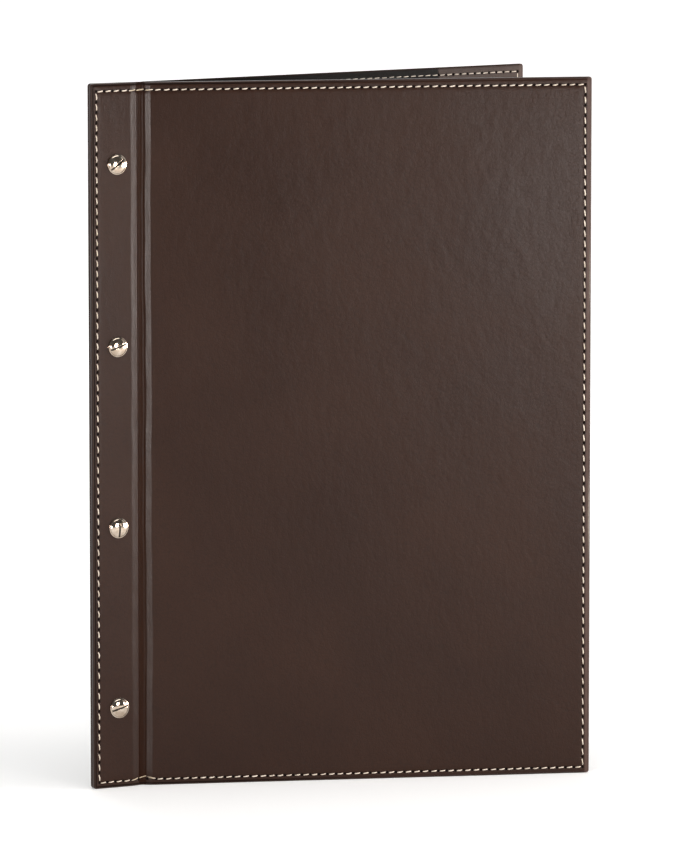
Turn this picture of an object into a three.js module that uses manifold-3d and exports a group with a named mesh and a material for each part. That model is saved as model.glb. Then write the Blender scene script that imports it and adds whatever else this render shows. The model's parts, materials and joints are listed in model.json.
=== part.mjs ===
// A screw-bound menu cover: two stiff wrapped covers hinged on a pair of clamped binding strips.
// Millimetres, +Z up. The strips lie in the XZ plane, the front faces -Y, the binding edge is at -X.

import * as THREE from 'three';
import { mergeVertices } from 'three/addons/utils/BufferGeometryUtils.js';
import loadManifold from 'manifold-3d';

const wasm = await loadManifold();
wasm.setup();
const { Manifold, Mesh: SolidMesh } = wasm;

// Overall size
const COVER_HEIGHT = 311;
const COVER_THICKNESS = 2.4;
const STRIP_TO_HINGE = 23;      // binding edge to the middle of the hinge groove
const HINGE_TO_FORE_EDGE = 201; // middle of the hinge groove to the fore-edge
const FRONT_OPENING_DEG = 16.9; // how far open each cover stands
const BACK_OPENING_DEG = 5.85;
const CORNER_RADIUS = 1.3;

// Sheet and board layers
const LEATHER = 0.4;
const LINING = 0.35;
const LAYER_GAP = 0.04;         // clearance between layers laid on one another
const HALF_CLOSED_GAP = 0.15;   // each cover's share of the space between closed covers
const EDGE_ROUND = 0.35;

// Hinge groove
const BEVEL_WIDTH = 3;
const CHANNEL_HALF_WIDTH = 1.9;
const CHANNEL_DEPTH = 1.5;
const HINGE_SPLIT = 0.15;       // half the slit where strip and cover leather part
const PIVOT_DEPTH = 2;          // pivot line in front of the plane where the strips meet

// Inner fore-edge band
const BAND_WIDTH = 45;
const BAND_GAP = 0.1;

// Stitching
const STITCH_INSET = 3.1;
const STITCH_WIDTH = 0.7;
const STITCH_RISE = 0.42;
const THREAD_LINK = 0.08;       // thread that dips to the leather between stitches
const STITCHES_UPRIGHT = 67;
const STITCHES_COVER_ROW = 48;
const STITCHES_STRIP_ROW = 4;
const STITCH_FILL = 0.66;       // visible share of one pitch
const STITCH_SLOPE = 0.1;       // share of a pitch over which the thread rises

// Binding screws
const SCREW_PITCH = 80;
const SCREW_COUNT = 4;
const SCREW_FROM_EDGE = 12;
const HEAD_RADIUS = 4.5;
const RIM_HEIGHT = 0.7;
const DOME_HEIGHT = 1.1;
const SLOT_WIDTH = 0.8;
const SLOT_DEPTH = 0.75;
const POST_RADIUS = 2.5;
const POST_BORE_RADIUS = 1.7;
const SHANK_RADIUS = 1.5;
const HOLE_RADIUS = 2.75;
const SHANK_LENGTH = 3.9;
const POST_END_GAP = 0.3;
const SLOT_TURNS_DEG = [37, 19, 89, 16];
const HEAD_SEGMENTS = 28;
const HOLE_SEGMENTS = 18;
const DOME_STEPS = 4;

const MATERIALS = {
  leather: { color: 0x40322b, roughness: 0.48, metalness: 0 },
  board: { color: 0x8d8578, roughness: 0.95, metalness: 0 },
  lining: { color: 0x131213, roughness: 0.8, metalness: 0 },
  band: { color: 0x4a3c35, roughness: 0.55, metalness: 0 },
  thread: { color: 0xcbbba9, roughness: 0.7, metalness: 0 },
  nickel: { color: 0xb9b4ab, roughness: 0.18, metalness: 1 },
};

function addMesh(parent, name, geometry, slot) {
  const mesh = new THREE.Mesh(geometry, new THREE.MeshStandardMaterial(MATERIALS[slot]));
  mesh.name = name;
  parent.add(mesh);
  return mesh;
}

// Solid helpers
function toSolid(geometry) {
  const bare = geometry.index ? geometry.toNonIndexed() : geometry.clone();
  bare.deleteAttribute('normal');
  bare.deleteAttribute('uv');
  const merged = mergeVertices(bare, 1e-5);
  return new Manifold(new SolidMesh({
    numProp: 3,
    vertProperties: Float32Array.from(merged.attributes.position.array),
    triVerts: Uint32Array.from(merged.index.array),
  }));
}

function toGeometry(solid) {
  const mesh = solid.getMesh();
  const positions = new Float32Array((mesh.vertProperties.length / mesh.numProp) * 3);
  for (let vertex = 0; vertex < positions.length / 3; vertex += 1) {
    for (let axis = 0; axis < 3; axis += 1) {
      positions[vertex * 3 + axis] = mesh.vertProperties[vertex * mesh.numProp + axis];
    }
  }
  const geometry = new THREE.BufferGeometry();
  geometry.setAttribute('position', new THREE.BufferAttribute(positions, 3));
  geometry.setIndex(Array.from(mesh.triVerts));
  const flat = geometry.toNonIndexed();
  flat.computeVertexNormals();
  return flat;
}

function box(x0, x1, y0, y1, z0, z1) {
  const geometry = new THREE.BoxGeometry(x1 - x0, y1 - y0, z1 - z0);
  geometry.translate((x0 + x1) / 2, (y0 + y1) / 2, (z0 + z1) / 2);
  return toSolid(geometry);
}

// A prism that runs upright, from a section given in X and Y.
function uprightPrism(points, z0, z1) {
  const shape = new THREE.Shape(points.map(([x, y]) => new THREE.Vector2(x, y)));
  const geometry = new THREE.ExtrudeGeometry(shape, { depth: z1 - z0, bevelEnabled: false });
  geometry.translate(0, 0, z0);
  return toSolid(geometry);
}

function subtractAll(solid, cutters) {
  return cutters.reduce((rest, cutter) => rest.subtract(cutter), solid);
}

function uniteAll(solids) {
  return solids.reduce((sum, solid) => sum.add(solid));
}

// A plate in the XZ plane with round corners at one end and softened edges.
function softPlate(x0, x1, roundLeft, yOuter, yInner) {
  const round = EDGE_ROUND;
  const [left, right] = [x0 + round, x1 - round];
  const [low, high] = [round, COVER_HEIGHT - round];
  const radius = CORNER_RADIUS - round;
  const shape = new THREE.Shape();
  if (roundLeft) {
    shape.moveTo(right, low);
    shape.lineTo(right, high);
    shape.lineTo(left + radius, high);
    shape.absarc(left + radius, high - radius, radius, Math.PI / 2, Math.PI, false);
    shape.lineTo(left, low + radius);
    shape.absarc(left + radius, low + radius, radius, Math.PI, Math.PI * 1.5, false);
  } else {
    shape.moveTo(left, high);
    shape.lineTo(left, low);
    shape.lineTo(right - radius, low);
    shape.absarc(right - radius, low + radius, radius, -Math.PI / 2, 0, false);
    shape.lineTo(right, high - radius);
    shape.absarc(right - radius, high - radius, radius, 0, Math.PI / 2, false);
  }
  const thickness = yInner - yOuter;
  const geometry = new THREE.ExtrudeGeometry(shape, {
    depth: thickness - 2 * round,
    bevelEnabled: true,
    bevelThickness: round,
    bevelSize: round,
    bevelSegments: 2,
    curveSegments: 4,
  });
  // The extrusion runs along +Z; turned, it runs along -Y and its outline stands upright.
  geometry.translate(0, 0, round);
  geometry.rotateX(Math.PI / 2);
  geometry.translate(0, yInner, 0);
  return toSolid(geometry);
}

function screwHeights() {
  const first = COVER_HEIGHT / 2 - (SCREW_PITCH * (SCREW_COUNT - 1)) / 2;
  return Array.from({ length: SCREW_COUNT }, (_, index) => first + index * SCREW_PITCH);
}

function screwHoles(x) {
  return screwHeights().map((z) => {
    const geometry = new THREE.CylinderGeometry(HOLE_RADIUS, HOLE_RADIUS, 4 * COVER_THICKNESS, HOLE_SEGMENTS);
    geometry.translate(x, 0, z);
    return toSolid(geometry);
  });
}

// Distances from the pivot line, along X. Strip values are negative, cover values are positive.
const GROOVE_EDGE = CHANNEL_HALF_WIDTH + BEVEL_WIDTH;
const SCREW_X = -(STRIP_TO_HINGE - SCREW_FROM_EDGE);
const OUTER_Y = -COVER_THICKNESS;
const CHANNEL_Y = OUTER_Y + CHANNEL_DEPTH;
const TOP_OF_POCKET = COVER_HEIGHT - LEATHER;

// The hinge groove is pressed into the outer face, with a sloping side and a flat floor.
function grooveCutter(side) {
  const past = 1;
  const slope = BEVEL_WIDTH / CHANNEL_DEPTH;
  return uprightPrism([
    [-side * past, CHANNEL_Y],
    [-side * past, OUTER_Y - past],
    [side * (GROOVE_EDGE + slope * past), OUTER_Y - past],
    [side * CHANNEL_HALF_WIDTH, CHANNEL_Y],
  ], -past, COVER_HEIGHT + past);
}

// Leatherette wrapped over one outer face, its edges and half of the hinge groove.
function wrapSolid(side, length, innerY) {
  const far = side * length;
  const near = side * HINGE_SPLIT;
  const [x0, x1] = [Math.min(far, near), Math.max(far, near)];
  const extra = side * (CORNER_RADIUS + EDGE_ROUND);
  const plate = side < 0
    ? softPlate(x0, x1 - extra, true, OUTER_Y, innerY)
    : softPlate(x0 - extra, x1, false, OUTER_Y, innerY);
  const trim = side < 0
    ? box(near, near + 9, -9, 9, -9, COVER_HEIGHT + 9)
    : box(near - 9, near, -9, 9, -9, COVER_HEIGHT + 9);
  const wall = far - side * LEATHER;
  const boardEnd = side * GROOVE_EDGE;
  const boardPocket = box(
    Math.min(wall, boardEnd), Math.max(wall, boardEnd), OUTER_Y + LEATHER, 9, LEATHER, TOP_OF_POCKET,
  );
  const open = near - side * 9;
  const liningPocket = box(
    Math.min(wall, open), Math.max(wall, open), innerY - LINING - LAYER_GAP, 9, LEATHER, TOP_OF_POCKET,
  );
  return subtractAll(plate, [trim, grooveCutter(side), boardPocket, liningPocket]);
}

function boardSolid(side, length, innerY) {
  const gap = LAYER_GAP;
  const outer = side * (length - LEATHER - gap);
  const inner = side * (GROOVE_EDGE + gap);
  return box(
    Math.min(outer, inner), Math.max(outer, inner),
    OUTER_Y + LEATHER + gap, innerY - LINING - gap, LEATHER + gap, TOP_OF_POCKET - gap,
  );
}

function innerSheet(x0, x1, innerY) {
  return box(x0, x1, innerY - LINING, innerY, LEATHER + LAYER_GAP, TOP_OF_POCKET - LAYER_GAP);
}

// One straight row of running stitch lying along +X, with its thread joined between stitches.
function stitchRow(length, count) {
  const pitch = length / count;
  const points = [new THREE.Vector2(0, 0)];
  const shape = new THREE.Shape();
  const rise = pitch * STITCH_SLOPE;
  const lead = (pitch * (1 - STITCH_FILL)) / 2;
  for (let index = 0; index < count; index += 1) {
    const start = index * pitch + lead;
    const end = start + pitch * STITCH_FILL;
    points.push(new THREE.Vector2(start, THREAD_LINK));
    points.push(new THREE.Vector2(start + rise, STITCH_RISE));
    points.push(new THREE.Vector2(end - rise, STITCH_RISE));
    points.push(new THREE.Vector2(end, THREAD_LINK));
  }
  points.splice(1, 0, new THREE.Vector2(0, THREAD_LINK));
  points.push(new THREE.Vector2(length, THREAD_LINK));
  points.push(new THREE.Vector2(length, 0));
  shape.setFromPoints(points.reverse());
  const geometry = new THREE.ExtrudeGeometry(shape, { depth: STITCH_WIDTH, bevelEnabled: false });
  geometry.translate(0, 0, -STITCH_WIDTH / 2);
  // Height above the leather becomes -Y, the width of the thread becomes Z.
  geometry.rotateX(Math.PI);
  return geometry;
}

// Top row, far column and bottom row of stitching round one outer face.
function stitching(side, length, rowCount) {
  const seatY = OUTER_Y - LAYER_GAP;
  const near = side * (GROOVE_EDGE + 0.5);
  const far = side * (length - STITCH_INSET);
  const rowLength = Math.abs(far - near) + STITCH_WIDTH / 2;
  const rowStart = Math.min(near, far) - (side < 0 ? STITCH_WIDTH / 2 : 0);
  const low = STITCH_INSET;
  const high = COVER_HEIGHT - STITCH_INSET;
  const rows = [low, high].map((z) => {
    const geometry = stitchRow(rowLength, rowCount);
    geometry.translate(rowStart, seatY, z);
    return toSolid(geometry);
  });
  const column = stitchRow(high - low, STITCHES_UPRIGHT);
  column.rotateY(-Math.PI / 2);
  column.translate(far, seatY, low);
  return uniteAll([...rows, toSolid(column)]);
}

// Domed head and round stem of a screw or post, turned about the Y axis with the head toward +Y.
function turnedProfile(stemRadius, stemLength) {
  const profile = [new THREE.Vector2(0, -stemLength), new THREE.Vector2(stemRadius, -stemLength)];
  profile.push(new THREE.Vector2(stemRadius, 0));
  profile.push(new THREE.Vector2(HEAD_RADIUS, 0));
  for (let step = 0; step < DOME_STEPS; step += 1) {
    const angle = (step / DOME_STEPS) * (Math.PI / 2);
    profile.push(new THREE.Vector2(HEAD_RADIUS * Math.cos(angle), RIM_HEIGHT + DOME_HEIGHT * Math.sin(angle)));
  }
  profile.push(new THREE.Vector2(0, RIM_HEIGHT + DOME_HEIGHT));
  return toSolid(new THREE.LatheGeometry(profile, HEAD_SEGMENTS));
}

function screwGeometry(slotTurnDeg) {
  const top = RIM_HEIGHT + DOME_HEIGHT;
  const reach = HEAD_RADIUS + 1;
  const slot = box(-reach, reach, top - SLOT_DEPTH, top + 1, -SLOT_WIDTH / 2, SLOT_WIDTH / 2);
  const geometry = toGeometry(turnedProfile(SHANK_RADIUS, SHANK_LENGTH).subtract(slot));
  geometry.rotateY(THREE.MathUtils.degToRad(slotTurnDeg));
  geometry.rotateX(Math.PI);
  return geometry;
}

function postGeometry() {
  const barrel = 2 * COVER_THICKNESS - POST_END_GAP;
  const bore = new THREE.CylinderGeometry(POST_BORE_RADIUS, POST_BORE_RADIUS, barrel, HOLE_SEGMENTS);
  bore.translate(0, -barrel / 2 - POST_END_GAP, 0);
  return toGeometry(turnedProfile(POST_RADIUS, barrel).subtract(toSolid(bore)));
}

// The front strip and the back strip are alike: the back one is the front one turned about the X axis.
function turnToBack(geometry) {
  geometry.rotateX(Math.PI);
  geometry.translate(0, 0, COVER_HEIGHT);
  return geometry;
}

function addStrip(parent, name, place) {
  const holes = screwHoles(SCREW_X);
  const wrap = subtractAll(wrapSolid(-1, STRIP_TO_HINGE, 0), holes);
  const board = subtractAll(boardSolid(-1, STRIP_TO_HINGE, 0), holes);
  const edge = -STRIP_TO_HINGE + LEATHER + LAYER_GAP;
  const lining = subtractAll(innerSheet(edge, -HINGE_SPLIT, 0), holes);
  addMesh(parent, `${name}_strip_leatherette`, place(toGeometry(wrap)), 'leather');
  addMesh(parent, `${name}_strip_board`, place(toGeometry(board)), 'board');
  addMesh(parent, `${name}_strip_lining`, place(toGeometry(lining)), 'lining');
  const thread = stitching(-1, STRIP_TO_HINGE, STITCHES_STRIP_ROW);
  addMesh(parent, `${name}_strip_stitching`, place(toGeometry(thread)), 'thread');
}

function addCover(parent, name, place) {
  const innerY = -HALF_CLOSED_GAP;
  const farInside = HINGE_TO_FORE_EDGE - LEATHER - LAYER_GAP;
  const bandStart = farInside - BAND_WIDTH;
  const lining = innerSheet(HINGE_SPLIT, bandStart - BAND_GAP, innerY);
  const band = innerSheet(bandStart, farInside, innerY);
  const wrap = wrapSolid(1, HINGE_TO_FORE_EDGE, innerY);
  const thread = stitching(1, HINGE_TO_FORE_EDGE, STITCHES_COVER_ROW);
  addMesh(parent, `${name}_cover_leatherette`, place(toGeometry(wrap)), 'leather');
  addMesh(parent, `${name}_cover_board`, place(toGeometry(boardSolid(1, HINGE_TO_FORE_EDGE, innerY))), 'board');
  addMesh(parent, `${name}_cover_lining`, place(toGeometry(lining)), 'lining');
  addMesh(parent, `${name}_fore_edge_band`, place(toGeometry(band)), 'band');
  addMesh(parent, `${name}_cover_stitching`, place(toGeometry(thread)), 'thread');
}

// Geometry made about the middle of the groove is moved so that the pivot line is its origin.
const aboutFrontPivot = (geometry) => geometry.translate(0, PIVOT_DEPTH, 0);
const aboutBackPivot = (geometry) => turnToBack(geometry).translate(0, -PIVOT_DEPTH, 0);

const menuCover = new THREE.Group();
const strips = new THREE.Group();
menuCover.add(strips);

addStrip(strips, 'front', (geometry) => geometry);
addStrip(strips, 'back', turnToBack);

screwHeights().reverse().forEach((z, index) => {
  const screw = addMesh(strips, `binding_screw_${index + 1}`, screwGeometry(SLOT_TURNS_DEG[index]), 'nickel');
  screw.position.set(SCREW_X, OUTER_Y, z);
  const post = addMesh(strips, `screw_post_${index + 1}`, postGeometry(), 'nickel');
  post.position.set(SCREW_X, COVER_THICKNESS, z);
});

const frontCover = new THREE.Group();
frontCover.position.set(0, -PIVOT_DEPTH, 0);
frontCover.rotation.z = -THREE.MathUtils.degToRad(FRONT_OPENING_DEG);
addCover(frontCover, 'front', aboutFrontPivot);
menuCover.add(frontCover);

const backCover = new THREE.Group();
backCover.position.set(0, PIVOT_DEPTH, 0);
backCover.rotation.z = THREE.MathUtils.degToRad(BACK_OPENING_DEG);
addCover(backCover, 'back', aboutBackPivot);
menuCover.add(backCover);

// The origin is under the middle of the whole part.
menuCover.updateMatrixWorld(true);
const bounds = new THREE.Box3().setFromObject(menuCover);
menuCover.position.set(-(bounds.min.x + bounds.max.x) / 2, -(bounds.min.y + bounds.max.y) / 2, 0);

export default menuCover;
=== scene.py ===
"""Leatherette menu cover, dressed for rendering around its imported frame. Metres, +Z up."""
import json
import math
import random
import bmesh
import bpy
import numpy as np
from mathutils import Matrix, Vector


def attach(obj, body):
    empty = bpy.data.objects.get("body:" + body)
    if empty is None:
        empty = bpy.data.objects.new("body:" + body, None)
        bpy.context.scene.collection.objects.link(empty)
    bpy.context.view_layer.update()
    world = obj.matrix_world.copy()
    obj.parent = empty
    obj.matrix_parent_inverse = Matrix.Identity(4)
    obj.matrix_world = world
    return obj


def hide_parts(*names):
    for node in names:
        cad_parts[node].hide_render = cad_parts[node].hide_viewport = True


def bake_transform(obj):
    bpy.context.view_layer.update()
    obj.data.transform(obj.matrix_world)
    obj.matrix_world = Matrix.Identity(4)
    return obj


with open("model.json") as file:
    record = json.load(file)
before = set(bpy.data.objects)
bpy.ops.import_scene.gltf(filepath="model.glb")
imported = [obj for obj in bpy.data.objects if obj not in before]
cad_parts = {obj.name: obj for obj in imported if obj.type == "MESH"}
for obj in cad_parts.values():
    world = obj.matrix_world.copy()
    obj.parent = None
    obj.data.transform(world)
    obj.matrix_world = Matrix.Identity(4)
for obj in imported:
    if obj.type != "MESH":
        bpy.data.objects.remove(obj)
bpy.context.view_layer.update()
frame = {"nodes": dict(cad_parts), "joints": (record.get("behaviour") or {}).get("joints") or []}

# Sizes that the CAD fixes, in metres
HEIGHT = 0.311
THICK = 0.0024           # one cover with all its layers
STRIP = 0.023            # binding edge to the middle of the groove
COVER = 0.201            # middle of the groove to the fore-edge
GROOVE_EDGE = 0.0049     # half the groove's width
HALF_GAP = 0.00015       # each cover's share of the space between closed covers
BAND = 0.045             # width of the leatherette band inside the fore-edge

# Distance of the seam from each edge, which the photo shows uneven
INSET = 0.0031           # from the fore-edge
LEFT_INSET = 0.0024      # from the binding edge
TOP_INSET = 0.0034
BOTTOM_INSET = 0.0027
STITCHES_UP = 67

JOINTS = {joint["name"]: joint for joint in frame["joints"]}
PIVOT_X = JOINTS["front_hinge"]["pos_m"][0]
FRONT_PIVOT_Y = JOINTS["front_hinge"]["pos_m"][1]
BACK_PIVOT_Y = JOINTS["back_hinge"]["pos_m"][1]
MID_Y = (FRONT_PIVOT_Y + BACK_PIVOT_Y) / 2
PIVOT_OUT = (BACK_PIVOT_Y - FRONT_PIVOT_Y) / 2
OPENING = {
    "front": math.radians(-JOINTS["front_hinge"]["range_deg"][0]),
    "back": math.radians(-JOINTS["back_hinge"]["range_deg"][0]),
}
SIDES = {"front": 1, "back": -1}


# Placing

def smooth(t):
    """Smoothstep, held at 0 and 1 outside the range."""
    t = np.clip(t, 0.0, 1.0)
    return t * t * (3 - 2 * t)


def past_hinge(u):
    """0 on the strip, 1 on the cover, and smoothly between them across the groove."""
    return smooth((u + GROOVE_EDGE) / (2 * GROOVE_EDGE))


def place(side, u, h, z):
    """Closed-cover coordinates to the standing pose.

    u runs from the middle of the groove toward the fore-edge, h is height out of the middle plane.
    """
    u, h, z = np.broadcast_arrays(np.asarray(u, float), np.asarray(h, float), np.asarray(z, float))
    turn = OPENING[side] * past_hinge(u)
    out = h - PIVOT_OUT
    x = u * np.cos(turn) - out * np.sin(turn)
    y = u * np.sin(turn) + out * np.cos(turn)
    return np.stack([PIVOT_X + x, MID_Y - SIDES[side] * (PIVOT_OUT + y), z], axis=-1)


# The groove's section: distance from its middle and how far it is pressed in.
# Two gentle slopes lead down to a narrow channel with steeper sides.
GROOVE_U = (-0.0049, -0.0043, -0.0014, -0.0008, -0.0001, 0.0008, 0.0017, 0.0024, 0.0047, 0.0050)
GROOVE_DROP = (0.0, 0.00005, 0.00062, 0.00116, 0.00142, 0.00146, 0.00122, 0.00072, 0.00004, 0.0)


def groove_drop(u, z):
    """How far the outer face is pressed in, across the hinge groove, whose far side wavers a little."""
    waver = 0.00016 * np.sin(z * 55 + 1.0) + 0.00009 * np.sin(z * 173 + 0.5)
    return np.interp(u + waver * smooth((u + 0.0005) / 0.002), GROOVE_U, GROOVE_DROP)


# Meshes

def mesh_object(name, points, faces, uv=None, smooth_faces=True):
    mesh = bpy.data.meshes.new(name)
    mesh.from_pydata([tuple(p) for p in points], [], [tuple(int(i) for i in f) for f in faces])
    if uv is not None:
        layer = mesh.uv_layers.new(name="surface")
        index = np.empty(len(mesh.loops), dtype=np.int32)
        mesh.loops.foreach_get("vertex_index", index)
        layer.data.foreach_set("uv", np.asarray(uv, np.float32)[index].ravel())
    mesh.polygons.foreach_set("use_smooth", [smooth_faces] * len(mesh.polygons))
    mesh.update()
    obj = bpy.data.objects.new(name, mesh)
    bpy.context.scene.collection.objects.link(obj)
    return obj


def weld(obj, distance=1e-6):
    work = bmesh.new()
    work.from_mesh(obj.data)
    bmesh.ops.remove_doubles(work, verts=work.verts, dist=distance)
    bmesh.ops.dissolve_degenerate(work, edges=work.edges, dist=1e-7)
    bmesh.ops.recalc_face_normals(work, faces=work.faces)
    work.to_mesh(obj.data)
    work.free()
    return obj


def grid_faces(rows, columns, flip=False):
    r, c = np.meshgrid(np.arange(rows - 1), np.arange(columns - 1), indexing="ij")
    a = (r * columns + c).ravel()
    quads = np.stack([a, a + 1, a + columns + 1, a + columns], axis=1)
    return quads[:, ::-1] if flip else quads


# The wrap's section, from the turned-in lip round the edge to the outer face:
# distance in from the edge, and height as a share of the thickness.
WRAP = [
    (0.0016, 0.05), (0.0009, 0.035), (0.0004, 0.045), (0.00015, 0.09), (0.0, 0.19),
    (0.0, 0.45), (0.0, 0.68), (0.00006, 0.83), (0.0002, 0.945), (0.0004, 0.995),
    (0.00062, 0.99), (0.0008, 0.95), (0.00098, 0.95), (0.0012, 0.985),
]
TURN_IN = WRAP[0][0]
CREASE = 0.00089         # the pressed line that runs along inside every outer edge
MARGIN_FALL = 0.00022    # how much thinner the margin is at the edge than at the seam
FORE_EDGE_FALL = 0.00052 # the same at the fore-edge, where the fall is rounder
FALL_POWER = 1.5
ROW_START = -(STRIP - LEFT_INSET)
ROW_END = COVER - INSET
ROW_COUNT = 57
ROW_PITCH = (ROW_END - ROW_START) / ROW_COUNT
ROW_BOTTOM = BOTTOM_INSET
ROW_TOP = HEIGHT - TOP_INSET
COLUMN_PITCH = (ROW_TOP - ROW_BOTTOM) / STITCHES_UP
CORNER = 0.0013          # corner radius in plan
STEPS = 4                # mesh lines in one stitch
VALLEY = 0.0005          # mesh lines this far to each side of a seam
LEAST_STEP = 0.00022     # closer mesh lines are left out
FINE_REACH = 0.0057      # fine mesh lines run this far to each side of the groove's middle
FINE_STEP = 0.00024
SEAM_REACH = 0.001       # how far thread tension shows past the ends of a seam
SEAM_WIDTH = 0.00075
SEAM_PULL = 0.00013      # least depth of the pulled line, and what the holes add to it


def bottom_lift(u):
    """The bottom stitch row lifts where it crosses the groove."""
    rise = smooth((u + 0.0045) / 0.0065) * smooth((0.0062 - u) / 0.0035)
    return 0.0012 * rise


def lines(low, high, first, final, count):
    """Mesh lines between the wrapped edges: evenly through the stitches, and beside each seam."""
    pitch = (final - first) / count
    values = [first + k * pitch / STEPS for k in range(count * STEPS + 1)]
    values += [low + TURN_IN, high - TURN_IN]
    values += [first - VALLEY, first + VALLEY, final - VALLEY, final + VALLEY]
    values = sorted(set(round(v, 6) for v in values))
    kept = [values[0]]
    for v in values[1:]:
        if v - kept[-1] > LEAST_STEP:
            kept.append(v)
    return kept


def extended(low, high, inside):
    """Position, wrap level and share of the thickness of all lines, edge wraps included."""
    levels = [(level, distance, share) for level, (distance, share) in enumerate(WRAP)]
    entries = [(low + distance, level, share) for level, distance, share in levels]
    entries += [(v, len(WRAP), 1.0) for v in inside]
    entries += [(high - distance, level, share) for level, distance, share in reversed(levels)]
    return entries


def pulled(away, phase):
    """Depth of a seam's line at a distance from it, deepest at the needle holes (whole phases)."""
    depth = SEAM_PULL + SEAM_PULL * (0.5 + 0.5 * np.cos(2 * np.pi * phase))
    return depth * np.exp(-(away / SEAM_WIDTH) ** 2)


def stitch_press(u, z):
    """How far thread tension pulls the leather in, near the stitch lines."""
    depth = np.zeros(np.broadcast(u, z).shape)
    row_phase = (u - ROW_START) / ROW_PITCH
    column_phase = (z - ROW_BOTTOM) / COLUMN_PITCH
    inside_rows = (u > ROW_START - SEAM_REACH) & (u < ROW_END + SEAM_REACH)
    inside_columns = (z > ROW_BOTTOM - SEAM_REACH) & (z < ROW_TOP + SEAM_REACH)
    for line, lift in ((ROW_BOTTOM, bottom_lift(u)), (ROW_TOP, 0 * u)):
        away = np.abs(z - line - lift)
        depth = np.maximum(depth, np.where(inside_rows, pulled(away, row_phase), 0))
    for line in (ROW_START, ROW_END):
        away = np.abs(u - line)
        depth = np.maximum(depth, np.where(inside_columns, pulled(away, column_phase), 0))
    return depth


def face_relief(u, z):
    """Gentle unevenness of a hand-wrapped board, in metres, with a little slack in the groove."""
    swell = 0.00003 * np.sin(u * 61 + 1.3) * np.sin(z * 43 + 0.4)
    swell = swell + 0.00002 * np.sin(u * 137 + z * 71)
    near = np.exp(-((np.abs(u) - 0.0034) / 0.0016) ** 2)
    ripple = 0.00004 * (np.sin(z * 150 + 2.0 * np.sin(z * 37)) + 0.5 * np.sin(z * 417 + 1.1))
    return swell + near * ripple


def margin_drop(u, z):
    """The margin outside the seam thins gently toward the edge."""
    edge = np.minimum(u + STRIP, np.minimum(z, HEIGHT - z))
    fall = MARGIN_FALL * np.clip(1 - edge / INSET, 0.0, 1.0)
    fore_edge = FORE_EDGE_FALL * np.clip(1 - (COVER - u) / INSET, 0.0, 1.0) ** FALL_POWER
    return np.maximum(fall, fore_edge)


def outer_height(u, z):
    """Height of the dressed outer face over the middle plane."""
    return THICK - groove_drop(u, z) - stitch_press(u, z) - margin_drop(u, z) + face_relief(u, z)


def skin(side):
    """One sheet of leatherette over strip, groove and cover, wrapped round the edges."""
    along_u = lines(-STRIP, COVER, ROW_START, ROW_END, ROW_COUNT)
    fine_count = int(FINE_REACH / FINE_STEP)
    fine = [k * FINE_STEP for k in range(-fine_count, fine_count + 1)]
    along_u = sorted([v for v in along_u if abs(v) > FINE_REACH] + fine)
    along_z = lines(0.0, HEIGHT, ROW_BOTTOM, ROW_TOP, STITCHES_UP)
    us = extended(-STRIP, COVER, along_u)
    zs = extended(0.0, HEIGHT, along_z)
    last = len(WRAP)
    u = np.array([e[0] for e in us])[None, :]
    z = np.array([e[0] for e in zs])[:, None]
    level_u = np.array([e[1] for e in us])[None, :]
    level_z = np.array([e[1] for e in zs])[:, None]
    share_u = np.array([e[2] for e in us])[None, :]
    share_z = np.array([e[2] for e in zs])[:, None]
    u, z = np.broadcast_arrays(u, z)
    level = np.minimum(level_u, level_z)
    share = np.where(level_u <= level_z, share_u, share_z)
    # at the wrap's levels, the other direction's line keeps the ring square
    du = np.minimum(u + STRIP, COVER - u)
    dz = np.minimum(z, HEIGHT - z)
    ring = np.array([d for d, _ in WRAP] + [0.0])[level]
    du = np.where(level < last, np.maximum(du, ring), du)
    dz = np.where(level < last, np.maximum(dz, ring), dz)
    left = u < (COVER - STRIP) / 2
    low = z < HEIGHT / 2
    # round corners in plan
    px = CORNER - du
    pz = CORNER - dz
    corner = (px > 0) & (pz > 0)
    reach = np.maximum(px, pz)
    length = np.hypot(px, pz)
    scale = np.where(corner & (length > 0), reach / np.where(length > 0, length, 1), 1)
    du = np.where(corner, CORNER - px * scale, du)
    dz = np.where(corner, CORNER - pz * scale, dz)
    plan_u = np.where(left, -STRIP + du, COVER - du)
    plan_z = np.where(low, dz, HEIGHT - dz)
    inner = HALF_GAP * past_hinge(plan_u)
    top = outer_height(plan_u, plan_z)
    h = inner + (top - inner) * share
    points = place(side, plan_u, h, plan_z).reshape(-1, 3)
    uv = np.stack([u, z], axis=-1).reshape(-1, 2)
    faces = grid_faces(len(zs), len(us), flip=side == "back")
    return weld(mesh_object(f"{side}_leatherette_wrap", points, faces, uv))


SLAB_SOFT = 0.00012      # length of a sheet's softened end
SLAB_END = 0.004         # even mesh lines start this far from either end
SLAB_STEPS = 40
SLAB_END_SHARE = 0.55    # thickness left at the very end
SLAB_SUPPORT = 0.0002    # extra lines beside the long edges keep the shading flat


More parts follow.
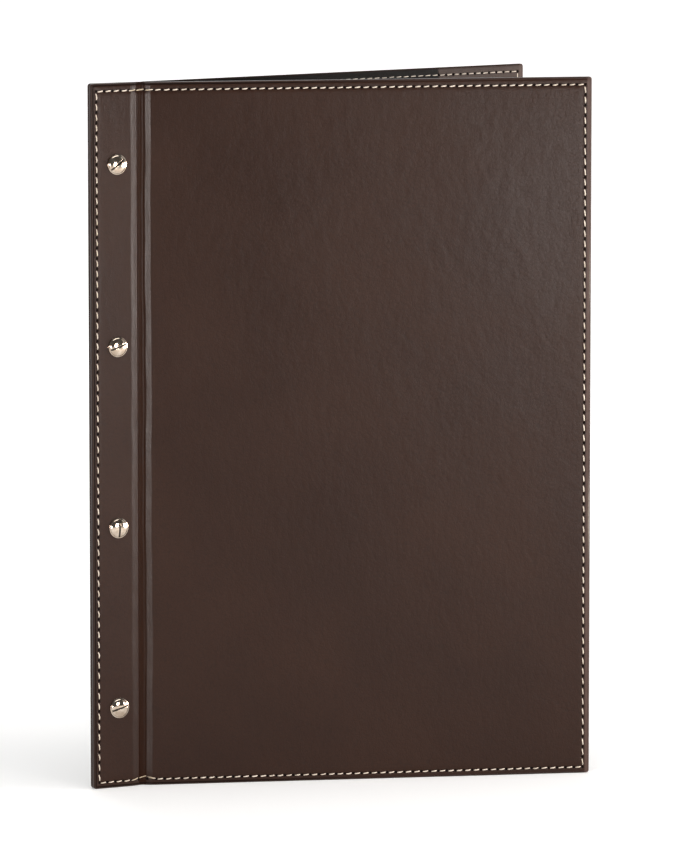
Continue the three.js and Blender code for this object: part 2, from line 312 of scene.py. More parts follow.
def slab(name, side, us, z0, z1, inner_face, outer_face):
    """A thin sheet with softened ends, laid in closed-cover coordinates.

    inner_face and outer_face give the heights of its two faces at each u.
    """
    us = np.array(sorted(list(us) + [us[0] + SLAB_SUPPORT, us[-1] - SLAB_SUPPORT]))
    zs = [z0 + SLAB_SOFT, z0 + 2 * SLAB_SOFT]
    zs += list(np.linspace(z0 + SLAB_END, z1 - SLAB_END, SLAB_STEPS))
    zs += [z1 - 2 * SLAB_SOFT, z1 - SLAB_SOFT]
    middle = (inner_face(us) + outer_face(us)) / 2
    half = (outer_face(us) - inner_face(us)) / 2
    ring_u = np.concatenate([us, us[::-1]])
    rows = []
    uvs = []
    for z, share in [(z0, SLAB_END_SHARE)] + [(v, 1.0) for v in zs] + [(z1, SLAB_END_SHARE)]:
        ring_h = np.concatenate([middle - half * share, (middle + half * share)[::-1]])
        rows.append(place(side, ring_u, ring_h, z))
        uvs.append(np.stack([ring_u, np.full(len(ring_u), z)], axis=-1))
    count = len(rows[0])
    points = np.concatenate(rows)
    uv = np.concatenate(uvs)
    faces = []
    for r in range(len(rows) - 1):
        for c in range(count):
            d = (c + 1) % count
            faces.append((r * count + c, r * count + d, (r + 1) * count + d, (r + 1) * count + c))
    half_count = len(us)
    for base in (0, (len(rows) - 1) * count):
        for c in range(half_count - 1):
            faces.append((base + c, base + c + 1, base + count - 2 - c, base + count - 1 - c))
    return weld(mesh_object(name, points, faces, uv))


# Stitches

THREAD = 0.00026         # thread radius
PLIES = 3
LEAN = 0.00017           # how far each stitch slants off the seam line, at either end
TUCK_ROW = 0.19          # share of a stitch hidden in the needle hole at either end
TUCK_COLUMN = 0.2
TUCK_GROOVE = 0.06
SEAM_LIFT = 0.00012      # the thread lies on the face this far up
SEAM_SINK = -0.00022     # height of a stitch's ends over that, before it rises
INNER_SEAT = 0.00051     # inner stitches lie low enough for the covers to close on each other
INNER_SINK = 0.00015
INNER_LEAN = 0.0001
INNER_LOOK = {"around": 8, "along": 6, "sign": -1.0, "tuck": 0.1}


def stitch(side, start, end, surface, sink, lean, dice, tuck, around=9, along=7, sign=1.0):
    """One twisted stitch between two needle holes, as points and faces in the standing pose.

    start and end are (u, z); surface gives the height of the sheet there; sign is -1 on the inner face.
    around and along are its mesh lines.
    """
    start, end = np.array(start), np.array(end)
    run = end - start
    length = float(np.hypot(*run))
    forward = run / length
    across = np.array([-forward[1], forward[0]])
    begin, finish = start + forward * length * tuck, end - forward * length * tuck
    thick = THREAD * (1 + 0.08 * dice.uniform(-1, 1))
    wander = dice.uniform(-1, 1) * 0.00005
    turn = dice.uniform(0, 6.283)
    points = []
    for k in range(along):
        t = k / (along - 1)
        bow = math.sin(math.pi * t)
        centre = begin + (finish - begin) * t + across * (lean * (t - 0.5) * 2 + wander * bow)
        taper = 0.55 + 0.45 * min(1.0, 1.9 * bow)
        rise = sink + (THREAD * 0.95 - sink) * min(1.0, bow * 1.35)
        height = surface(centre[0], centre[1]) + sign * rise
        slope = math.cos(math.pi * t) * 0.9
        for a in range(around):
            angle = 2 * math.pi * a / around
            lobe = 1 + 0.10 * math.cos(PLIES * (angle - turn) - t * 9.0)
            r = thick * taper * lobe
            side_way = math.cos(angle) * r
            up = math.sin(angle) * r * 0.85
            where = centre + across * side_way - forward * up * slope * sign * 0.6
            points.append((where[0], height + up, where[1]))
    for t_end in (0, along - 1):
        ring = points[t_end * around:(t_end + 1) * around]
        points.append(tuple(np.mean(ring, axis=0)))
    points = np.array(points)
    faces = []
    for k in range(along - 1):
        for a in range(around):
            b = (a + 1) % around
            faces.append((k * around + a, k * around + b, (k + 1) * around + b, (k + 1) * around + a))
    first, final = along * around, along * around + 1
    for a in range(around):
        b = (a + 1) % around
        faces.append((first, b, a))
        faces.append((final, (along - 1) * around + a, (along - 1) * around + b))
    return place(side, points[:, 0], points[:, 1], points[:, 2]), faces


def joined(name, bits):
    """One mesh from many small ones."""
    points, faces, base = [], [], 0
    for bit_points, bit_faces in bits:
        points.append(bit_points)
        faces += [tuple(base + i for i in f) for f in bit_faces]
        base += len(bit_points)
    return mesh_object(name, np.concatenate(points), faces)


def outer_stitches(side):
    """The whole outer seam: four rows that meet at the corners and run on across the groove."""
    dice = random.Random(11 if side == "front" else 12)
    bits = []

    def surface(u, z):
        return float(outer_height(np.array([[u]]), np.array([[z]]))[0, 0]) + SEAM_LIFT

    for row, z in enumerate((ROW_BOTTOM, ROW_TOP)):
        for k in range(ROW_COUNT):
            u0, u1 = ROW_START + k * ROW_PITCH, ROW_START + (k + 1) * ROW_PITCH
            z0 = z + (float(bottom_lift(np.array(u0))) if row == 0 else 0.0)
            z1 = z + (float(bottom_lift(np.array(u1))) if row == 0 else 0.0)
            tuck = TUCK_GROOVE if abs(u0 + u1) / 2 < GROOVE_EDGE else TUCK_ROW
            bits.append(stitch(side, (u0, z0), (u1, z1), surface, SEAM_SINK, LEAN, dice, tuck))
    for u in (ROW_START, ROW_END):
        for k in range(STITCHES_UP):
            z0, z1 = ROW_BOTTOM + k * COLUMN_PITCH, ROW_BOTTOM + (k + 1) * COLUMN_PITCH
            bits.append(stitch(side, (u, z0), (u, z1), surface, SEAM_SINK, LEAN, dice, TUCK_COLUMN))
    return joined(f"{side}_seam_outside", bits)


def inner_stitches(side):
    """The same seam where it shows on the cover's inner face, from the hinge to the fore-edge."""
    dice = random.Random(21 if side == "front" else 22)
    bits = []

    def lying(u, z):
        return INNER_SEAT

    def sew(start, end):
        bits.append(stitch(side, start, end, lying, INNER_SINK, INNER_LEAN, dice, **INNER_LOOK))

    first = int(math.ceil((GROOVE_EDGE - ROW_START) / ROW_PITCH))
    for z in (ROW_BOTTOM, ROW_TOP):
        for k in range(first, ROW_COUNT):
            u0, u1 = ROW_START + k * ROW_PITCH, ROW_START + (k + 1) * ROW_PITCH
            sew((u0, z), (u1, z))
    for k in range(STITCHES_UP):
        z0, z1 = ROW_BOTTOM + k * COLUMN_PITCH, ROW_BOTTOM + (k + 1) * COLUMN_PITCH
        sew((ROW_END, z0), (ROW_END, z1))
    return joined(f"{side}_seam_inside", bits)


# Screws and posts

SCREW_COUNT = 4
SCREW_PITCH = 0.080
SCREW_FROM_EDGE = 0.012
SCREW_STEM = (0.0015, 0.0039)  # radius and length
POST_STEM = (0.0025, 0.0045)
HEAD_R = 0.0045
RIM = 0.0007             # height of the head's straight side
DOME = 0.0011            # and of the dome over it
DOME_R = HEAD_R - 0.00045
DOME_STEPS = 12
SLOT_WIDTH = 0.0008
SLOT_DEPTH = 0.00075
SLOT_TURNS = (37, 19, 89, 16)  # degrees, from the top screw down
CUTTER_LENGTH = 0.011
CUTTER_HEIGHT = 0.0016


def turned(name, profile, segments=72):
    """A turned piece about Z from (radius, height) points, closed at both ends on the axis."""
    points, faces = [], []
    rings = []
    for r, z in profile:
        if r < 1e-9:
            rings.append([len(points)])
            points.append((0, 0, z))
        else:
            rings.append(list(range(len(points), len(points) + segments)))
            for k in range(segments):
                a = 2 * math.pi * k / segments
                points.append((r * math.cos(a), r * math.sin(a), z))
    for low, high in zip(rings, rings[1:]):
        for k in range(segments):
            d = (k + 1) % segments
            if len(low) == 1:
                faces.append((low[0], high[d], high[k]))
            elif len(high) == 1:
                faces.append((low[k], low[d], high[0]))
            else:
                faces.append((low[k], low[d], high[d], high[k]))
    return mesh_object(name, np.array(points), faces)


def head_profile(stem_radius, stem_length):
    """Half section of a domed head on its stem, as (radius, height) points with the seat at height 0."""
    chamfer = 0.0002
    profile = [(0, -stem_length), (stem_radius - chamfer, -stem_length), (stem_radius, chamfer - stem_length)]
    profile += [(stem_radius, 0.0), (HEAD_R - 0.00025, 0.0), (HEAD_R - 0.00007, 0.00006), (HEAD_R, 0.0002)]
    profile += [(HEAD_R, RIM - 0.00022), (HEAD_R - 0.00006, RIM - 0.00007), (HEAD_R - 0.0002, RIM)]
    step = 0.00005           # the dome starts this far over the rim
    for k in range(DOME_STEPS):
        a = k / DOME_STEPS * math.pi / 2
        profile.append((DOME_R * math.cos(a), RIM + step + (DOME - step) * math.sin(a)))
    profile.append((0, RIM + DOME))
    return profile


def cut_slot(head, turn):
    """Mills a straight slot across the dome and softens its edges."""
    work = bmesh.new()
    bmesh.ops.create_cube(work, size=1)
    lift = RIM + DOME - SLOT_DEPTH + CUTTER_HEIGHT / 2
    for v in work.verts:
        v.co = Vector((v.co.x * CUTTER_LENGTH, v.co.y * SLOT_WIDTH, v.co.z * CUTTER_HEIGHT + lift))
    cutter_mesh = bpy.data.meshes.new("slot_cutter")
    work.to_mesh(cutter_mesh)
    work.free()
    cutter = bpy.data.objects.new("slot_cutter", cutter_mesh)
    bpy.context.scene.collection.objects.link(cutter)
    cutter.rotation_euler.z = turn
    cut = head.modifiers.new("slot", "BOOLEAN")
    cut.operation = "DIFFERENCE"
    cut.solver = "EXACT"
    cut.object = cutter
    soften = head.modifiers.new("soften", "BEVEL")
    soften.width = 0.00007
    soften.segments = 2
    soften.limit_method = "ANGLE"
    soften.angle_limit = math.radians(38)
    bpy.context.view_layer.update()
    evaluated = head.evaluated_get(bpy.context.evaluated_depsgraph_get())
    finished = bpy.data.meshes.new_from_object(evaluated)
    head.modifiers.clear()
    head.data = finished
    bpy.data.objects.remove(cutter, do_unlink=True)
    head.data.polygons.foreach_set("use_smooth", [True] * len(head.data.polygons))
    mark = head.data.attributes.get("sharp_edge")
    if mark:
        head.data.attributes.remove(mark)
    head.data.set_sharp_from_angle(angle=math.radians(40))
    mark_slot(head.data, turn)


def mark_slot(mesh, turn):
    """Gives the slot's floor and walls the second material, the slot's painted shade."""
    across = Vector((-math.sin(turn), math.cos(turn), 0))
    slack = 0.00001
    under_dome = 0.00013
    for face in mesh.polygons:
        reach = math.hypot(face.center.x, face.center.y) / DOME_R
        dome = RIM + DOME * math.sqrt(max(0.0, 1 - reach * reach))
        inside = abs(face.center.dot(across)) < SLOT_WIDTH / 2 + slack
        deep = RIM / 2 < face.center.z < dome - under_dome
        face.material_index = 1 if inside and deep else 0


def screw_heights():
    """Heights of the screws, the top one first, evenly about the middle."""
    first = HEIGHT / 2 + (SCREW_COUNT - 1) / 2 * SCREW_PITCH
    return [first - k * SCREW_PITCH for k in range(SCREW_COUNT)]


def seat(piece, x, y, z, front):
    """Stands a piece turned about Z so that its head looks out of the front or the back."""
    turn = Matrix.Rotation(math.radians(90 if front else -90), 4, "X")
    piece.data.transform(Matrix.Translation((x, y, z)) @ turn)
    piece.data.update()


# Materials

class Nodes:
    """Short calls for building a material's node tree."""

    def __init__(self, name):
        self.material = bpy.data.materials.new(name)
        self.material.use_nodes = True
        self.tree = self.material.node_tree
        self.tree.nodes.clear()
        self.out = self.tree.nodes.new("ShaderNodeOutputMaterial")
        self.shader = self.tree.nodes.new("ShaderNodeBsdfPrincipled")
        self.tree.links.new(self.shader.outputs[0], self.out.inputs["Surface"])

    def add(self, kind, **values):
        node = self.tree.nodes.new(kind)
        for key, value in values.items():
            setattr(node, key, value)
        return node

    def link(self, source, target):
        self.tree.links.new(source, target)

    def feed(self, value, socket):
        if isinstance(value, bpy.types.NodeSocket):
            self.link(value, socket)
        else:
            socket.default_value = value

    def math(self, operation, a, b=None):
        node = self.add("ShaderNodeMath", operation=operation)
        self.feed(a, node.inputs[0])
        if b is not None:
            self.feed(b, node.inputs[1])
        return node.outputs[0]

    def range(self, value, low, high, to_low=0.0, to_high=1.0):
        node = self.add("ShaderNodeMapRange", interpolation_type="SMOOTHSTEP")
        for socket, number in zip(node.inputs, (value, low, high, to_low, to_high)):
            self.feed(number, socket)
        return node.outputs[0]

    def coords(self, kind="UV", scale=(1, 1, 1)):
        return self.mapped(self.add("ShaderNodeTexCoord").outputs[kind], scale)

    def mapped(self, vector, scale, turn=0.0):
        mapping = self.add("ShaderNodeMapping")
        self.link(vector, mapping.inputs["Vector"])
        mapping.inputs["Rotation"].default_value = (0, 0, turn)
        mapping.inputs["Scale"].default_value = scale
        return mapping.outputs[0]

    def split(self, vector):
        node = self.add("ShaderNodeSeparateXYZ")
        self.link(vector, node.inputs[0])
        return node.outputs

    def noise(self, vector, scale, detail=3.0, rough=0.5):
        node = self.add("ShaderNodeTexNoise")
        self.link(vector, node.inputs["Vector"])
        node.inputs["Scale"].default_value = scale
        node.inputs["Detail"].default_value = detail
        node.inputs["Roughness"].default_value = rough
        return node.outputs["Fac"]

    def voronoi(self, vector, scale, feature):
        node = self.add("ShaderNodeTexVoronoi", feature=feature)
        self.link(vector, node.inputs["Vector"])
        node.inputs["Scale"].default_value = scale
        return node.outputs["Distance"]

    def mix(self, factor, a, b):
        node = self.add("ShaderNodeMix", data_type="RGBA", blend_type="MIX")
        self.feed(factor, node.inputs[0])
        self.feed(a, node.inputs[6])
        self.feed(b, node.inputs[7])
        return node.outputs[2]

    def bump(self, height, distance, strength=1.0, normal=None):
        node = self.add("ShaderNodeBump")
        node.inputs["Strength"].default_value = strength
        node.inputs["Distance"].default_value = distance
        self.link(height, node.inputs["Height"])
        if normal is not None:
            self.link(normal, node.inputs["Normal"])
        return node.outputs["Normal"]

    def set(self, **values):
        for key, value in values.items():
            self.feed(value, self.shader.inputs[key.replace("_", " ")])


def rgb(r, g, b):
    """A colour given as it shows on screen, 0 to 255, turned to linear light."""
    def linear(c):
        c /= 255
        return c / 12.92 if c <= 0.04045 else ((c + 0.055) / 1.055) ** 2.4
    return (linear(r), linear(g), linear(b), 1.0)


def hole_field(n, u, z):
    """Distances in metres to the seam's nearest needle hole and to the nearest edge, from u and z."""
    def nearest(value, start, pitch):
        phase = n.math("DIVIDE", n.math("SUBTRACT", value, start), pitch)
        part = n.math("FRACT", phase)
        return n.math("MULTIPLY", n.math("MINIMUM", part, n.math("SUBTRACT", 1.0, part)), pitch)

    def away(value, low, high):
        return n.math("MINIMUM", n.math("ABSOLUTE", n.math("SUBTRACT", value, low)),
                      n.math("ABSOLUTE", n.math("SUBTRACT", value, high)))

    def length(a, b):
        return n.math("SQRT", n.math("ADD", n.math("MULTIPLY", a, a), n.math("MULTIPLY", b, b)))

    rows = length(nearest(u, ROW_START, ROW_PITCH), away(z, ROW_BOTTOM, ROW_TOP))
    columns = length(nearest(z, ROW_BOTTOM, COLUMN_PITCH), away(u, ROW_START, ROW_END))
    edge = n.math("MINIMUM", away(z, 0.0, HEIGHT), away(u, -STRIP, COVER))
    return n.math("MINIMUM", rows, columns), edge


WRINKLE_COLOUR = (0.006, 0.004, 0.003, 1)
# painted shade for the needle holes and the edge crease
HOLE_AND_CREASE_SHADE_COLOUR = (0.004, 0.0025, 0.002, 1)
# painted highlight for the fore-edge margin
FORE_EDGE_HIGHLIGHT_COLOUR = rgb(92, 74, 68)
FOLD_MIDDLE = 0.0005
LEATHER_GLOSS = 0.19
FOLD_GLOSS = 0.04


def leather_material(name, dark, light, rough):
    """Fine pebbled leatherette with mottling, painted shade in the needle holes and along the dark edge
    crease, and a painted highlight on the fore-edge margin.
    """
    n = Nodes(name)
    uv = n.coords("UV")
    u, z = n.split(uv)[:2]
    hole, edge = hole_field(n, u, z)
    # painted shade: dark spots in the needle holes and a dark line along the crease inside the edges, fading
    # toward the fore-edge
    hole_shade = n.range(hole, 0.00035, 0.0008, 1.0, 0.0)
    crease_shade = n.range(n.math("ABSOLUTE", n.math("SUBTRACT", edge, CREASE)), 0.00014, 0.0004, 0.92, 0.0)
    crease_shade = n.math("MULTIPLY", crease_shade, n.range(u, 0.04, 0.14, 1.0, 0.2))
    broad = n.noise(uv, 14, 4, 0.55)
    fine = n.noise(uv, 900, 5, 0.6)
    pebble = n.voronoi(uv, 1500, "SMOOTH_F1")
    wrinkle = n.voronoi(uv, 620, "DISTANCE_TO_EDGE")
    tone = n.math("ADD", n.math("MULTIPLY", broad, 0.6), n.math("MULTIPLY", fine, 0.4))
    colour = n.mix(n.range(tone, 0.35, 0.65), dark, light)
    in_wrinkle = n.math("MULTIPLY", n.range(wrinkle, 0.0, 0.09, 1.0, 0.0), 0.25)
    colour = n.mix(in_wrinkle, colour, WRINKLE_COLOUR)
    # painted highlight: a lighter margin past the fore-edge seam, patchy with the broad noise
    past_seam = n.range(u, ROW_END + 0.0006, ROW_END + 0.0014, 0.0, 0.55)
    fore_edge_highlight = n.math("MULTIPLY", past_seam, n.range(broad, 0.3, 0.6, 0.7, 1.0))
    colour = n.mix(fore_edge_highlight, colour, FORE_EDGE_HIGHLIGHT_COLOUR)
    # both painted shades together; the same mask also roughens the leather and lowers its gloss
    hole_crease_shade = n.math("MAXIMUM", hole_shade, crease_shade)
    colour = n.mix(hole_crease_shade, colour, HOLE_AND_CREASE_SHADE_COLOUR)
    roughness = n.math("ADD", n.range(broad, 0.3, 0.7, rough - 0.035, rough + 0.035),
                       n.math("ADD", n.math("MULTIPLY", hole_crease_shade, 0.3), n.range(fine, 0.3, 0.7, -0.03, 0.03)))
    relief = n.math("ADD", n.math("MULTIPLY", pebble, 0.5), n.math("MULTIPLY", fine, 0.7))
    relief = n.math("ADD", relief, n.math("MULTIPLY", n.range(wrinkle, 0.0, 0.12), 0.35))
    normal = n.bump(relief, 0.00007, 0.45)
    stretched = n.mapped(uv, (1.0, 0.58, 1.0), 0.15)
    normal = n.bump(n.noise(stretched, 190, 5, 0.55), 0.00037, 0.4, normal)
    normal = n.bump(n.noise(uv, 120, 3, 0.5), 0.00034, 0.22, normal)
    normal = n.bump(n.range(hole, 0.0002, 0.0008), 0.0004, 0.8, normal)
    n.set(Base_Color=colour, Roughness=roughness, Normal=normal)
    # the bottom of the groove is duller
    fold = n.range(n.math("ABSOLUTE", n.math("SUBTRACT", u, FOLD_MIDDLE)), 0.0012, 0.0021, 0.75, 0.0)
    n.set(Specular_IOR_Level=n.range(n.math("MAXIMUM", hole_crease_shade, fold), 0.0, 1.0, LEATHER_GLOSS, FOLD_GLOSS))
    return n.material


def lining_material():
    """Black bookcloth with a fine weave."""
    n = Nodes("black_lining")
    uv = n.coords("UV")
    fine = n.noise(uv, 1400, 4, 0.6)
    broad = n.noise(uv, 20, 3, 0.5)
    weave = n.add("ShaderNodeTexBrick")
    n.link(uv, weave.inputs["Vector"])
    weave.inputs["Scale"].default_value = 1100
    weave.inputs["Mortar Size"].default_value = 0.06
    weave.inputs["Mortar Smooth"].default_value = 0.8
    weave.inputs["Color1"].default_value = (1, 1, 1, 1)
    weave.inputs["Color2"].default_value = (0.8, 0.8, 0.8, 1)
    weave.inputs["Mortar"].default_value = (0, 0, 0, 1)
    colour = n.mix(n.range(broad, 0.3, 0.7), rgb(14, 11, 8), rgb(22, 19, 16))
    colour = n.mix(n.math("MULTIPLY", fine, 0.35), colour, rgb(7, 6, 5))
    n.set(Base_Color=colour, Roughness=n.range(fine, 0.3, 0.7, 0.62, 0.78))
    n.set(Normal=n.bump(fine, 0.00003, 0.5, n.bump(weave.outputs["Color"], 0.00003, 0.5)))
    n.set(Specular_IOR_Level=0.2)
    return n.material


def thread_material():
    """Cream thread, soiled where it crosses the groove."""
    n = Nodes("cream_thread")
    where = n.coords("Object")
    broad = n.noise(where, 60, 2, 0.5)
    fibre = n.noise(where, 5200, 4, 0.7)
    colour = n.mix(n.range(broad, 0.3, 0.7), rgb(196, 183, 166), rgb(220, 208, 193))
    colour = n.mix(n.range(fibre, 0.25, 0.5, 0.4, 0.0), colour, rgb(140, 116, 92))
    from_hinge = n.math("ABSOLUTE", n.math("SUBTRACT", n.split(where)[0], PIVOT_X))
    colour = n.mix(n.range(from_hinge, 0.0035, 0.0055, 0.6, 0.0), colour, rgb(150, 130, 92))
    n.set(Base_Color=colour, Roughness=n.range(fibre, 0.3, 0.7, 0.5, 0.68))
    n.set(Normal=n.bump(fibre, 0.00006, 0.6), Sheen_Weight=0.2, Specular_IOR_Level=0.4)
    return n.material


def nickel_material():
    """Polished nickel with faint smears."""
    n = Nodes("bright_nickel")
    where = n.coords("Object")
    smear = n.noise(where, 420, 4, 0.6)
    fine = n.noise(n.coords("Object", (1, 1, 6)), 2600, 3, 0.6)
    colour = n.mix(n.range(smear, 0.35, 0.7), rgb(178, 160, 142), rgb(208, 194, 178))
    n.set(Base_Color=colour, Metallic=1.0, Roughness=n.range(smear, 0.3, 0.75, 0.06, 0.095))
    n.set(Normal=n.bump(fine, 0.000004, 0.15))
    return n.material


def slot_shade_material():
    """Rougher metal for the slot's floor and walls, with painted shade in its darker colour."""
    n = Nodes("milled_slot")
    where = n.coords("Object")
    smear = n.noise(where, 900, 4, 0.6)
    # painted shade: dark metal colours stand in for the shade inside the slot
    colour = n.mix(n.range(smear, 0.3, 0.7), rgb(48, 43, 38), rgb(82, 75, 66))
    n.set(Base_Color=colour, Metallic=1.0, Roughness=n.range(smear, 0.3, 0.7, 0.42, 0.6))
    n.set(Normal=n.bump(smear, 0.00002, 0.4))
    return n.material


def board_material():
    """Grey pulp board."""
    n = Nodes("grey_board")
    where = n.coords("Object")
    fibre = n.noise(where, 700, 6, 0.7)
    colour = n.mix(n.range(fibre, 0.3, 0.7), rgb(126, 119, 108), rgb(158, 151, 138))
    n.set(Base_Color=colour, Roughness=0.93, Normal=n.bump(fibre, 0.0001, 0.5))
    return n.material


def paint(obj, material):
    """Gives an object one material, in its first slot."""
    if len(obj.data.materials):
        obj.data.materials[0] = material
    else:
        obj.data.materials.append(material)


# Building

LEATHER = leather_material("brown_leatherette", rgb(37, 19, 10), rgb(43, 23, 12), 0.34)
BAND_LEATHER = leather_material("band_leatherette", rgb(61, 48, 42), rgb(69, 55, 49), 0.5)
LINING = lining_material()
THREAD_LOOK = thread_material()
NICKEL = nickel_material()
SLOT_SHADE = slot_shade_material()
BOARD = board_material()


def blend_across(piece, side):
    """Bakes into its mesh the transform of a piece that spans the hinge between the strips and one cover."""
    start = place(side, -GROOVE_EDGE, THICK, 0.0)
    end = place(side, GROOVE_EDGE, THICK, 0.0)
    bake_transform(piece)


SHEET_MARGIN = 0.00055   # lining and band stop this far from the edges
SHEET_THICK = 0.00035
BAND_START = COVER - SHEET_MARGIN - BAND
BAND_GAP = 0.0001        # between the lining and the band
HINGE_LINES = [-0.0056 + 0.0004 * k for k in range(29)]


def sheet(name, side, us, inner_face, outer_face):
    """A thin inner sheet over the cover's full height."""
    return slab(name, side, us, SHEET_MARGIN, HEIGHT - SHEET_MARGIN, inner_face, outer_face)


def build_wrap(side):
    wrap = skin(side)
    paint(wrap, LEATHER)
    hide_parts(f"{side}_strip_leatherette", f"{side}_cover_leatherette")
    blend_across(wrap, side)


def build_seam(side):
    seam = outer_stitches(side)
    paint(seam, THREAD_LOOK)
    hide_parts(f"{side}_strip_stitching", f"{side}_cover_stitching")
    blend_across(seam, side)


def build_lining(side):
    """Lining over the strip, the hinge and the cover as far as the band."""
    def face(u):
        return HALF_GAP * past_hinge(u)

    us = [-STRIP + SHEET_MARGIN, -0.015, -0.010] + HINGE_LINES
    us += list(np.linspace(0.01, BAND_START - BAND_GAP, 24))
    lining = sheet(f"{side}_inner_lining", side, us,
                   lambda u: face(u) + 0.00002, lambda u: face(u) + SHEET_THICK)
    paint(lining, LINING)
    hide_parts(f"{side}_strip_lining", f"{side}_cover_lining")
    blend_across(lining, side)


def build_band(side):
    """Leatherette band inside the fore-edge, thinner at its cut edge."""
    far = COVER - SHEET_MARGIN
    us = [BAND_START, BAND_START + 0.00015]
    us += list(np.linspace(BAND_START + 0.001, far - 0.001, 30)) + [far]
    cut = 0.0001
    band = sheet(f"{side}_inner_band", side, us,
                 lambda u: HALF_GAP + np.where(u < BAND_START + cut, cut, 0.0),
                 lambda u: HALF_GAP + SHEET_THICK + 0 * u)
    paint(band, BAND_LEATHER)
    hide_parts(f"{side}_fore_edge_band")
    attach(band, f"{side}_cover")


def build_inner_seam(side):
    inside = inner_stitches(side)
    paint(inside, THREAD_LOOK)
    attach(inside, f"{side}_cover")


def build_screw(number, height):
    screw = turned(f"slotted_screw_{number}", head_profile(*SCREW_STEM))
    cut_slot(screw, math.radians(SLOT_TURNS[number - 1]))
    seat(screw, PIVOT_X - STRIP + SCREW_FROM_EDGE, MID_Y - THICK, height, True)
    paint(screw, NICKEL)
    # the slot's faces get the painted-shade metal
    screw.data.materials.append(SLOT_SHADE)
    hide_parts(f"binding_screw_{number}")
    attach(screw, "strips")


def build_post(number, height):
    post = turned(f"domed_post_{number}", head_profile(*POST_STEM))
    seat(post, PIVOT_X - STRIP + SCREW_FROM_EDGE, MID_Y + THICK, height, False)
    paint(post, NICKEL)
    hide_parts(f"screw_post_{number}")
    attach(post, "strips")


for side_name in ("front", "back"):
    build_wrap(side_name)
    build_seam(side_name)
    build_lining(side_name)
    build_band(side_name)
    build_inner_seam(side_name)

for index, height_of_screw in enumerate(screw_heights()):
    build_screw(index + 1, height_of_screw)
    build_post(index + 1, height_of_screw)

for name in frame["nodes"]:
    if name.endswith("_board"):
        paint(bpy.data.objects[name], BOARD)


# Stage

# The camera, which stands where the photo's did
AZIMUTH = math.radians(-25.904)
TILT = math.radians(7.358)
DISTANCE = 3.0
PIXELS_PER_METRE = 2262.0  # at the middle of the part, in the frame's full height
SIDE_STEP = 0.004831
LIFT = 0.001821
FRAME_HEIGHT = 850

NEAR_GLOW = 0.2
FAR_GLOW = 0.72
FLOOR_HALF_WIDTH = 5.0
FLOOR_NEAR = -4.0
FLOOR_FAR = 2.0
BEND_RADIUS = 1.2
WALL_MIDDLE = 2.0
WALL_TOP = 5.0
FLOOR_DROP = 0.0001      # the floor lies this far under the part


def stage_material():
    """Pale floor and wall that glow white toward the back, where camera and reflections see them."""
    n = Nodes("pale_floor")
    path = n.add("ShaderNodeLightPath")
    where = n.coords("Object")
    tone = n.mix(n.noise(where, 3, 3, 0.5), (0.80, 0.80, 0.795, 1), (0.83, 0.83, 0.825, 1))
    n.set(Base_Color=tone, Roughness=0.9, Specular_IOR_Level=0.1)
    n.set(Emission_Color=(1, 1, 1, 1))
    seen = n.math("MAXIMUM", path.outputs["Is Camera Ray"],
                  n.math("MAXIMUM", path.outputs["Is Glossy Ray"], path.outputs["Is Transmission Ray"]))
    level = n.range(n.split(n.coords("UV"))[1], 0.0, 1.6, NEAR_GLOW, FAR_GLOW)
    n.link(n.math("MULTIPLY", seen, level), n.shader.inputs["Emission Strength"])
    return n.material


def floor():
    """A floor that bends up into a wall behind the part, square to the camera."""
    profile = [(y, 0.0) for y in np.linspace(FLOOR_NEAR, FLOOR_FAR, 13)]
    for a in np.linspace(0.1, math.pi / 2, 14):
        profile.append((FLOOR_FAR + BEND_RADIUS * math.sin(a), BEND_RADIUS * (1 - math.cos(a))))
    profile += [(FLOOR_FAR + BEND_RADIUS, WALL_MIDDLE), (FLOOR_FAR + BEND_RADIUS, WALL_TOP)]
    points, faces, uv = [], [], []
    for x in (-FLOOR_HALF_WIDTH, FLOOR_HALF_WIDTH):
        points += [(x, y, z - FLOOR_DROP) for y, z in profile]
        uv += [(x, y) for y, z in profile]
    count = len(profile)
    for k in range(count - 1):
        faces.append((k, k + 1, count + k + 1, count + k))
    obj = mesh_object("pale_floor", np.array(points), faces, np.array(uv))
    obj.data.transform(Matrix.Rotation(AZIMUTH, 4, "Z"))
    paint(obj, stage_material())


def look(position, target):
    """Rotation that turns a lamp at one place toward another."""
    return (Vector(target) - Vector(position)).to_track_quat("-Z", "Y").to_matrix().to_4x4()


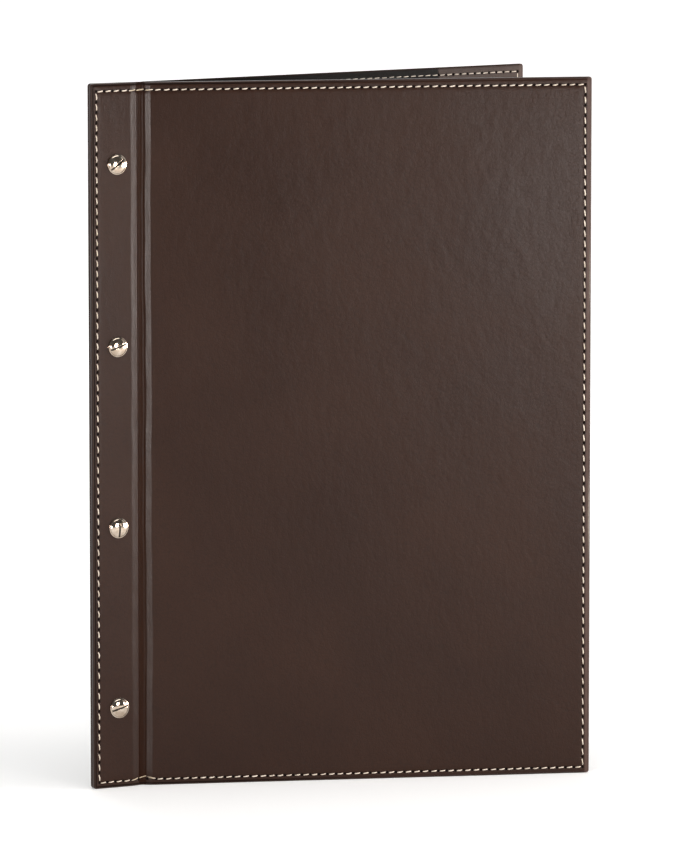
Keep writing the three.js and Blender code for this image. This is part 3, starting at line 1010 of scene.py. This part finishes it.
def camera():
    """Sets the camera up and returns its level directions to the right and away from it."""
    right = Vector((math.cos(AZIMUTH), math.sin(AZIMUTH), 0))
    flat = Vector((-math.sin(AZIMUTH), math.cos(AZIMUTH), 0))
    forward = flat * math.cos(TILT) - Vector((0, 0, math.sin(TILT)))
    up = right.cross(forward)
    centre = Vector((0, 0, HEIGHT / 2))
    position = centre + right * SIDE_STEP + up * LIFT - forward * DISTANCE
    data = bpy.data.cameras.new("camera")
    data.sensor_fit = "VERTICAL"
    data.sensor_height = 24.0
    data.lens = PIXELS_PER_METRE * DISTANCE * data.sensor_height / FRAME_HEIGHT
    data.clip_end = 50
    obj = bpy.data.objects.new("camera", data)
    basis = Matrix((right, up, -forward)).transposed().to_4x4()
    obj.matrix_world = Matrix.Translation(position) @ basis
    bpy.context.scene.collection.objects.link(obj)
    bpy.context.scene.camera = obj
    return right, flat


def area(name, place_at, aim, size, power, colour=(1, 1, 1)):
    """An elliptical lamp at one place, turned toward another."""
    data = bpy.data.lights.new(name, "AREA")
    data.shape = "ELLIPSE"
    data.size, data.size_y = size
    data.energy = power
    data.color = colour
    obj = bpy.data.objects.new(name, data)
    obj.matrix_world = Matrix.Translation(place_at) @ look(place_at, aim)
    bpy.context.scene.collection.objects.link(obj)


RIGHT, AWAY = camera()
floor()


def spot(right, away, up):
    """A place given in the camera's own level directions."""
    return RIGHT * right + AWAY * away + Vector((0, 0, up))


WARM = (1.0, 0.93, 0.89)
COVER_AIM = (0, 0, 0.2)
WORLD_LEVEL = 0.12

# Low lamps for the gloss on the groove's two slopes, the strip and the panel
area("low_side", spot(1.05, 0.0, 0.17), COVER_AIM, (0.36, 0.28), 8.3, WARM)
area("low_left", spot(-0.44, -1.22, 0.17), COVER_AIM, (0.3, 0.28), 9.4, WARM)
area("strip_light", spot(0.731, -0.325, 0.16), COVER_AIM, (0.2, 0.26), 1.2, WARM)
area("panel_light", spot(0.477, -0.763, 0.2), COVER_AIM, (0.22, 0.26), 2.15, WARM)

# Large soft lights
area("right_card", spot(1.55, 0.1, 0.75), (0, 0, 0.15), (1.4, 1.3), 2.6)
area("back_fill", spot(-0.4, 1.5, 1.7), (0, 0, 0.15), (1.4, 1.0), 13)
area("soft_top", spot(0.1, -0.3, 2.1), (0, 0, 0.0), (2.2, 1.8), 34)

world = bpy.data.worlds.new("soft_world")
world.use_nodes = True
background = world.node_tree.nodes["Background"]
background.inputs["Color"].default_value = (1, 1, 1, 1)
background.inputs["Strength"].default_value = WORLD_LEVEL
bpy.context.scene.world = world
bpy.context.scene.view_settings.view_transform = "Standard"
